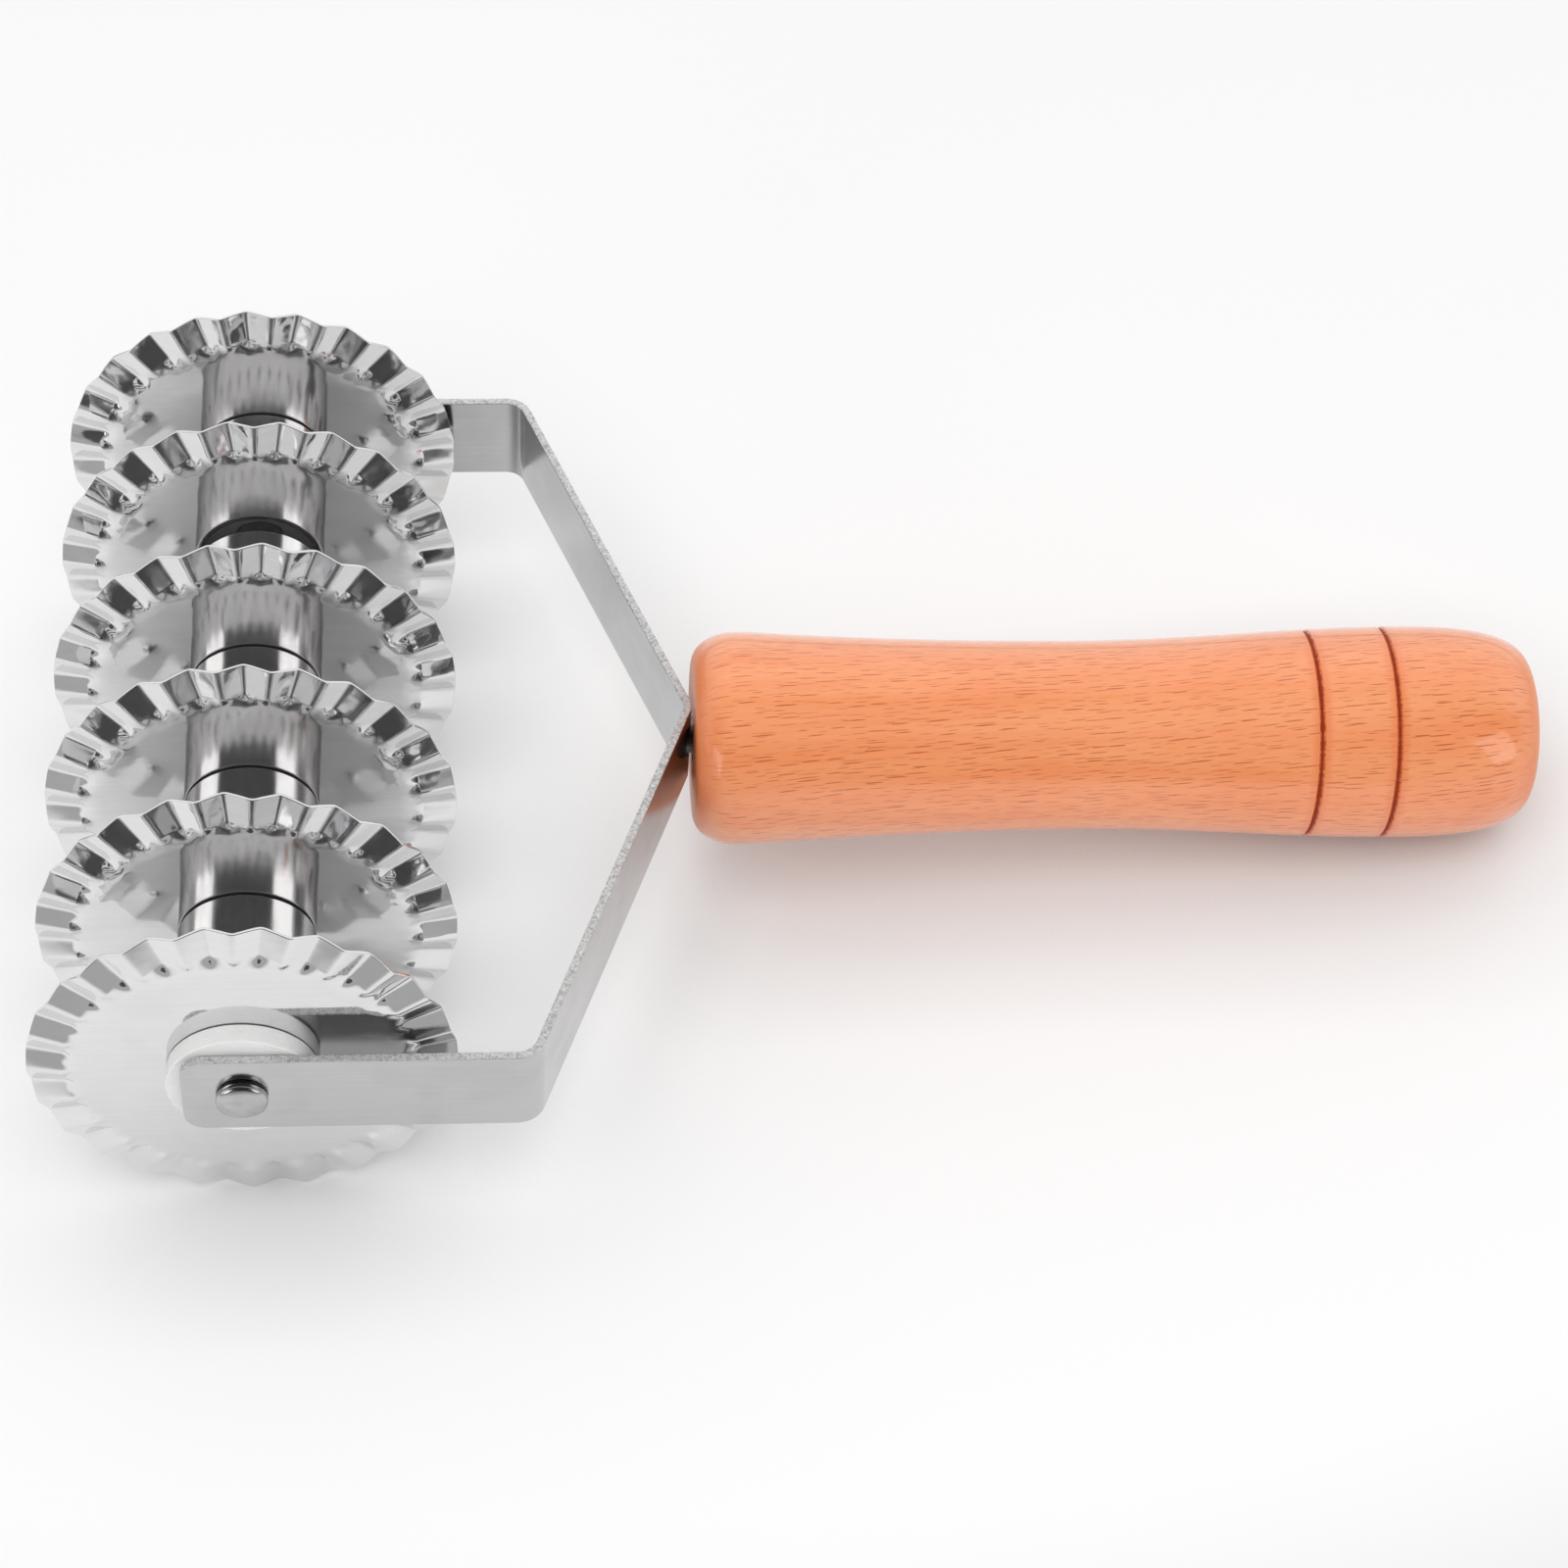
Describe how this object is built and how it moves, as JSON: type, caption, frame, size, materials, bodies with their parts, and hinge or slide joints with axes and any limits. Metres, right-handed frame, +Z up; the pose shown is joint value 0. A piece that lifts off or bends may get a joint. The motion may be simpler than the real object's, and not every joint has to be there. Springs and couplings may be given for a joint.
{
  "type": "pasta cutter",
  "caption": "Hand-held pasta cutter: fluted steel wheels spaced by tubes on an axle, in a bent strip fork with a turned beech handle, for cutting rolled dough into wavy strips.",
  "frame": {"origin": "centre of the bounding box, on the surface that the tool lies on", "axes": "+X along the tool towards the end of the handle, +Y along the axle, +Z up; the tool rests on its wheels and the back of its handle"},
  "size_m": [0.2138, 0.127, 0.058],
  "materials": {
    "polished_steel": "polished",
    "satin_steel": "satin",
    "white_nylon": "matte",
    "beech": "lacquered"
  },
  "bodies": {
    "frame": {"fork_frame": "satin_steel", "axle_pin": "polished_steel", "handle_tang": "satin_steel", "handle": "beech"},
    "bush_far": {"end_bush_far": "white_nylon"},
    "wheel_1": {"cutting_wheel_1": "polished_steel"},
    "spacer_1": {"spacer_tube_1": "polished_steel", "spacer_core_1": "white_nylon"},
    "wheel_2": {"cutting_wheel_2": "polished_steel"},
    "spacer_2": {"spacer_tube_2": "polished_steel", "spacer_core_2": "white_nylon"},
    "wheel_3": {"cutting_wheel_3": "polished_steel"},
    "spacer_3": {"spacer_tube_3": "polished_steel", "spacer_core_3": "white_nylon"},
    "wheel_4": {"cutting_wheel_4": "polished_steel"},
    "spacer_4": {"spacer_tube_4": "polished_steel", "spacer_core_4": "white_nylon"},
    "wheel_5": {"cutting_wheel_5": "polished_steel"},
    "spacer_5": {"spacer_tube_5": "polished_steel", "spacer_core_5": "white_nylon"},
    "wheel_6": {"cutting_wheel_6": "polished_steel"},
    "bush_near": {"end_bush_near": "white_nylon"}
  },
  "joints": [
    {"name": "bush_far_spin", "type": "hinge", "parent": "frame", "child": "bush_far", "pos_m": [-0.07793, 0.05875, 0.029], "axis": [0, 1, 0], "continuous": true},
    {"name": "wheel_1_spin", "type": "hinge", "parent": "frame", "child": "wheel_1", "pos_m": [-0.07793, 0.05685, 0.029], "axis": [0, 1, 0], "continuous": true},
    {"name": "spacer_1_spin", "type": "hinge", "parent": "frame", "child": "spacer_1", "pos_m": [-0.07793, 0.0456, 0.029], "axis": [0, 1, 0], "continuous": true},
    {"name": "wheel_2_spin", "type": "hinge", "parent": "frame", "child": "wheel_2", "pos_m": [-0.07793, 0.03435, 0.029], "axis": [0, 1, 0], "continuous": true},
    {"name": "spacer_2_spin", "type": "hinge", "parent": "frame", "child": "spacer_2", "pos_m": [-0.07793, 0.0219, 0.029], "axis": [0, 1, 0], "continuous": true},
    {"name": "wheel_3_spin", "type": "hinge", "parent": "frame", "child": "wheel_3", "pos_m": [-0.07793, 0.01065, 0.029], "axis": [0, 1, 0], "continuous": true},
    {"name": "spacer_3_spin", "type": "hinge", "parent": "frame", "child": "spacer_3", "pos_m": [-0.07793, -0.0006, 0.029], "axis": [0, 1, 0], "continuous": true},
    {"name": "wheel_4_spin", "type": "hinge", "parent": "frame", "child": "wheel_4", "pos_m": [-0.07793, -0.01185, 0.029], "axis": [0, 1, 0], "continuous": true},
    {"name": "spacer_4_spin", "type": "hinge", "parent": "frame", "child": "spacer_4", "pos_m": [-0.07793, -0.0231, 0.029], "axis": [0, 1, 0], "continuous": true},
    {"name": "wheel_5_spin", "type": "hinge", "parent": "frame", "child": "wheel_5", "pos_m": [-0.07793, -0.03435, 0.029], "axis": [0, 1, 0], "continuous": true},
    {"name": "spacer_5_spin", "type": "hinge", "parent": "frame", "child": "spacer_5", "pos_m": [-0.07793, -0.0456, 0.029], "axis": [0, 1, 0], "continuous": true},
    {"name": "wheel_6_spin", "type": "hinge", "parent": "frame", "child": "wheel_6", "pos_m": [-0.07793, -0.05685, 0.029], "axis": [0, 1, 0], "continuous": true},
    {"name": "bush_near_spin", "type": "hinge", "parent": "frame", "child": "bush_near", "pos_m": [-0.07793, -0.05875, 0.029], "axis": [0, 1, 0], "continuous": true}
  ]
}
